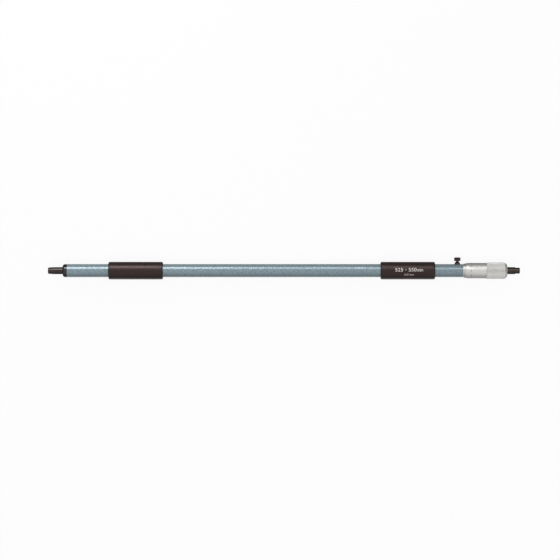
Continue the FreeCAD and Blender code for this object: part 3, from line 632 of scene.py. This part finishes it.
def add_figure(gathered, number, width, height, centre_x, centre_arc, radius):
    """Wrap a number round the axis and add it to a bmesh. width is that of one of its digits."""
    words = str(number)
    shape = flat_lettering(words, width * len(words), height, 0.0)
    cut_into_strips(shape, height)
    wrap(shape, centre_x, centre_arc, radius)
    loose = bpy.data.meshes.new("figure")
    shape.to_mesh(loose)
    shape.free()
    gathered.from_mesh(loose)
    bpy.data.meshes.remove(loose)


# %% [markdown]
# ## Ink and engraving filler
# The legend on the grip is printed in white ink. The marks on the metal are engraved and filled
# with black wax, which is dull, so its black never shines. Neither covers quite evenly, so both
# are mixed in the same way, from two shades in small patches.

# %% Ink and wax
def patchy_colour(name, roughness, patch, one_shade, other_shade):
    """Mix a colour that covers unevenly, in patches so many millimetres wide."""
    material, shader = new_finish(name, Roughness=roughness)
    tree = material.node_tree
    place = add_node(tree, "ShaderNodeTexCoord")
    patchy = add_node(tree, "ShaderNodeTexNoise",
                      inputs={"Vector": place.outputs["Object"], "Scale": 1 / (patch * MM)})
    tone = add_node(tree, "ShaderNodeValToRGB", inputs={"Fac": patchy.outputs["Fac"]})
    tone.color_ramp.elements[0].color = linear(one_shade)
    tone.color_ramp.elements[1].color = linear(other_shade)
    tree.links.new(tone.outputs["Color"], shader.inputs["Base Color"])
    print(name, "in patches of", patch, "mm")
    return material


white_ink = patchy_colour("white_pad_printing_ink", 0.55, 0.6, "BFB8B5", "DCD6D3")
black_wax = patchy_colour("black_engraving_wax", 0.7, 0.3, "141313", "2A2827")

# %% [markdown]
# ## The legend on the rear grip
# It gives the measuring range and the value of one division. The unit is smaller than the
# figures and stands on the same line. The second line lies lower on the round grip, so the
# camera sees it foreshortened. A typeface sets its dash low, for small letters, so here it is
# lifted to the middle of the figures.

# %% Print the legend
GRIP_RADIUS = (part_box("rear_grip")[1].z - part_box("rear_grip")[0].z) / 2
GRIP_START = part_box("rear_grip")[0].x

# words, width, height, middle from the grip's start, middle above the grip's centre line
LEGEND = {
    "range": ("525 - 550", 23.7 * MM, 4.0 * MM, 27.9 * MM, 1.0 * MM),
    "unit": ("mm", 6.2 * MM, 2.6 * MM, 43.8 * MM, 0.3 * MM),
    "division": ("0.01mm", 10.2 * MM, 2.3 * MM, 31.5 * MM, -4.6 * MM),
}
BOLDNESS = {"range": 0.001, "unit": 0.002, "division": -0.004}
DASH_REACH = 2.0 * MM
DASH_LIFT = 0.6 * MM

for part, (words, width, height, from_start, arc) in LEGEND.items():
    shape = flat_lettering(words, width, height, BOLDNESS[part])
    if part == "range":
        dash = [vertex for vertex in shape.verts if abs(vertex.co.x) < DASH_REACH]
        bmesh.ops.translate(shape, verts=dash, vec=(0, DASH_LIFT, 0))
        print("dash corners lifted:", len(dash))
    cut_into_strips(shape, height)
    wrap(shape, GRIP_START + from_start, arc, GRIP_RADIUS)
    finish_piece("legend_" + part, shape, white_ink, "frame")
print("legend parts:", len(LEGEND), "on a radius of", round(GRIP_RADIUS / MM, 2), "mm")

# %% [markdown]
# ## Marks on the thimble
# One turn of the thimble moves the contact by half a millimetre, and its bevel has fifty lines,
# so one line is a hundredth. Every fifth line is longer and has its number behind it, on the
# plain barrel. The numbers grow upwards in this picture, because the thimble's top edge comes
# towards you as it opens. Each line is a thin block that lies on the slope of the bevel.

# %% Lines on the bevel
DIVISIONS = 50
FIGURE_STEP = 5
LINE_WIDTH = 0.16 * MM
LINE_DEPTH = 0.04 * MM
EDGE_RADIUS = 7.55 * MM
BARREL_RADIUS = 8.5 * MM
BEVEL_LENGTH = 5.1 * MM
SHORT_LINE = 2.2 * MM
LONG_LINE = 3.4 * MM
LINE_INSET = 0.15 * MM

edge_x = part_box("thimble")[0].x
bevel_slope = math.atan2(BARREL_RADIUS - EDGE_RADIUS, BEVEL_LENGTH)


def add_line(shape, start, heading, outwards, length, width):
    """Add a thin block along heading, half sunk into the surface below start."""
    across = outwards.cross(heading)
    turned = Matrix((heading, across, outwards)).transposed().to_4x4()
    size = Matrix.Diagonal((length, width, LINE_DEPTH, 1))
    middle = Matrix.Translation(start + heading * length / 2)
    bmesh.ops.create_cube(shape, size=1.0, matrix=middle @ turned @ size)


bevel_lines = bmesh.new()
for division in range(DIVISIONS):
    turn = 2 * math.pi * division / DIVISIONS
    outwards = outwards_at(turn)
    heading = ALONG * math.cos(bevel_slope) + outwards * math.sin(bevel_slope)
    normal = outwards * math.cos(bevel_slope) - ALONG * math.sin(bevel_slope)
    start = ALONG * edge_x + outwards * EDGE_RADIUS + heading * LINE_INSET
    length = SHORT_LINE if division % FIGURE_STEP else LONG_LINE
    add_line(bevel_lines, start, heading, normal, length, LINE_WIDTH)
finish_piece("thimble_lines", bevel_lines, black_wax, "thimble_and_spindle")
print("thimble lines:", DIVISIONS)

# %% [markdown]
# The ten numbers are made the same way as the legend, each wrapped at its own place.

# %% Numbers on the thimble
FIGURE_HEIGHT = 1.9 * MM
FIGURE_WIDTH = 1.15 * MM
FIGURES_FROM_EDGE = 8.4 * MM

figures = bmesh.new()
for division in range(0, DIVISIONS, FIGURE_STEP):
    arc = 2 * math.pi * BARREL_RADIUS * division / DIVISIONS
    add_figure(figures, division, FIGURE_WIDTH, FIGURE_HEIGHT, edge_x + FIGURES_FROM_EDGE, arc,
               BARREL_RADIUS)
finish_piece("thimble_figures", figures, black_wax, "thimble_and_spindle")
print("thimble numbers:", DIVISIONS // FIGURE_STEP)

# %% [markdown]
# ## The main scale
# The sleeve under the thimble carries the main scale. Closed, the thimble covers all of it but
# its zero line and the start of the reading line, and as the tool opens it comes into view. Whole
# millimetres stand above the reading line and half millimetres below it, and every fifth
# millimetre has a number.

# %% Main scale
SCALE_LENGTH = 25
HALF_MILLIMETRE = 0.5 * MM
SCALE_LINE = 0.14 * MM
PLAIN_LINE = 1.5 * MM
NUMBERED_LINE = 2.2 * MM
READING_LINE_LENGTH = 26.0 * MM
sleeve_radius = (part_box("graduated_sleeve")[1].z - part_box("graduated_sleeve")[0].z) / 2
sleeve_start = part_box("graduated_sleeve")[0].x


def flat_bar(shape, x_place, y_low, y_high, width):
    """Add a flat bar at right angles to the reading line, from y_low to y_high."""
    middle = Matrix.Translation((x_place, (y_low + y_high) / 2, 0))
    size = Matrix.Diagonal((width, y_high - y_low, INK_THICKNESS, 1))
    bmesh.ops.create_cube(shape, size=1.0, matrix=middle @ size)


main_scale = bmesh.new()
for half in range(2 * SCALE_LENGTH + 1):
    if half % 2:
        low, high = -PLAIN_LINE, 0
    else:
        low, high = 0, PLAIN_LINE if half % (2 * FIGURE_STEP) else NUMBERED_LINE
    flat_bar(main_scale, half * HALF_MILLIMETRE, low, high, SCALE_LINE)
cut_into_strips(main_scale, 2 * NUMBERED_LINE)
wrap(main_scale, edge_x, 0, sleeve_radius)
reading_start = ALONG * (sleeve_start + LINE_INSET) + FACING * sleeve_radius
add_line(main_scale, reading_start, ALONG, FACING, READING_LINE_LENGTH, SCALE_LINE)
finish_piece("main_scale", main_scale, black_wax, "scale_sleeve")
print("main scale:", SCALE_LENGTH, "mm on a radius of", round(sleeve_radius / MM, 2), "mm")

# %% [markdown]
# Each number stands above the reading line, just behind the line that it belongs to.

# %% Numbers on the main scale
SCALE_FIGURE_WIDTH = 1.1 * MM
SCALE_FIGURE_HEIGHT = 1.8 * MM
SCALE_FIGURE_ARC = 3.3 * MM
BEHIND_LINE = 0.5 * MM

scale_figures = bmesh.new()
for millimetre in range(0, SCALE_LENGTH + 1, FIGURE_STEP):
    half_width = SCALE_FIGURE_WIDTH * len(str(millimetre)) / 2
    add_figure(scale_figures, millimetre, SCALE_FIGURE_WIDTH, SCALE_FIGURE_HEIGHT,
               edge_x + millimetre * MM + BEHIND_LINE + half_width, SCALE_FIGURE_ARC, sleeve_radius)
finish_piece("main_scale_figures", scale_figures, black_wax, "scale_sleeve")
print("scale numbers:", SCALE_LENGTH // FIGURE_STEP + 1)

# %% [markdown]
# ## The thread of the lock screw
# Between the boss and the knurled head a little of the screw shows. The solid model leaves its
# thread plain. Here it is wound for real: a low three-cornered ridge goes round the neck and
# climbs by one pitch each turn, as the die leaves it. It stays clear of the boss also when the
# screw is turned in to lock the spindle.

# %% Wind the thread
THREAD_PITCH = 0.5 * MM
THREAD_HEIGHT = 0.07 * MM
THREAD_TURNS = 1.4
THREAD_START = 9.94 * MM
NECK_RADIUS = 1.5 * MM
RIDGE_CIRCLE = 2 * THREAD_HEIGHT
STEPS_PER_TURN = 48

screw_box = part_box("lock_screw")
screw_foot = ALONG * ((screw_box[0].x + screw_box[1].x) / 2)
ridge_place = screw_foot + SCREW_SIDE * THREAD_START - FACING * (NECK_RADIUS - THREAD_HEIGHT)
ridge_turn = Matrix((FACING, SCREW_SIDE, FACING.cross(SCREW_SIDE))).transposed().to_4x4()
point_outwards = Matrix.Rotation(math.pi / 2, 4, "Z")
thread = bmesh.new()
bmesh.ops.create_circle(thread, cap_ends=True, segments=3, radius=RIDGE_CIRCLE,
                        matrix=Matrix.Translation(ridge_place) @ ridge_turn @ point_outwards)
step_count = round(STEPS_PER_TURN * THREAD_TURNS)
bmesh.ops.spin(thread, geom=thread.verts[:] + thread.edges[:] + thread.faces[:], cent=screw_foot,
               axis=SCREW_SIDE, dvec=SCREW_SIDE * (THREAD_PITCH / STEPS_PER_TURN),
               angle=2 * math.pi * THREAD_TURNS, steps=step_count, use_merge=False)
thread_piece = finish_piece("lock_screw_thread", thread, black_screw_steel, "lock_screw")
print("thread steps:", step_count)
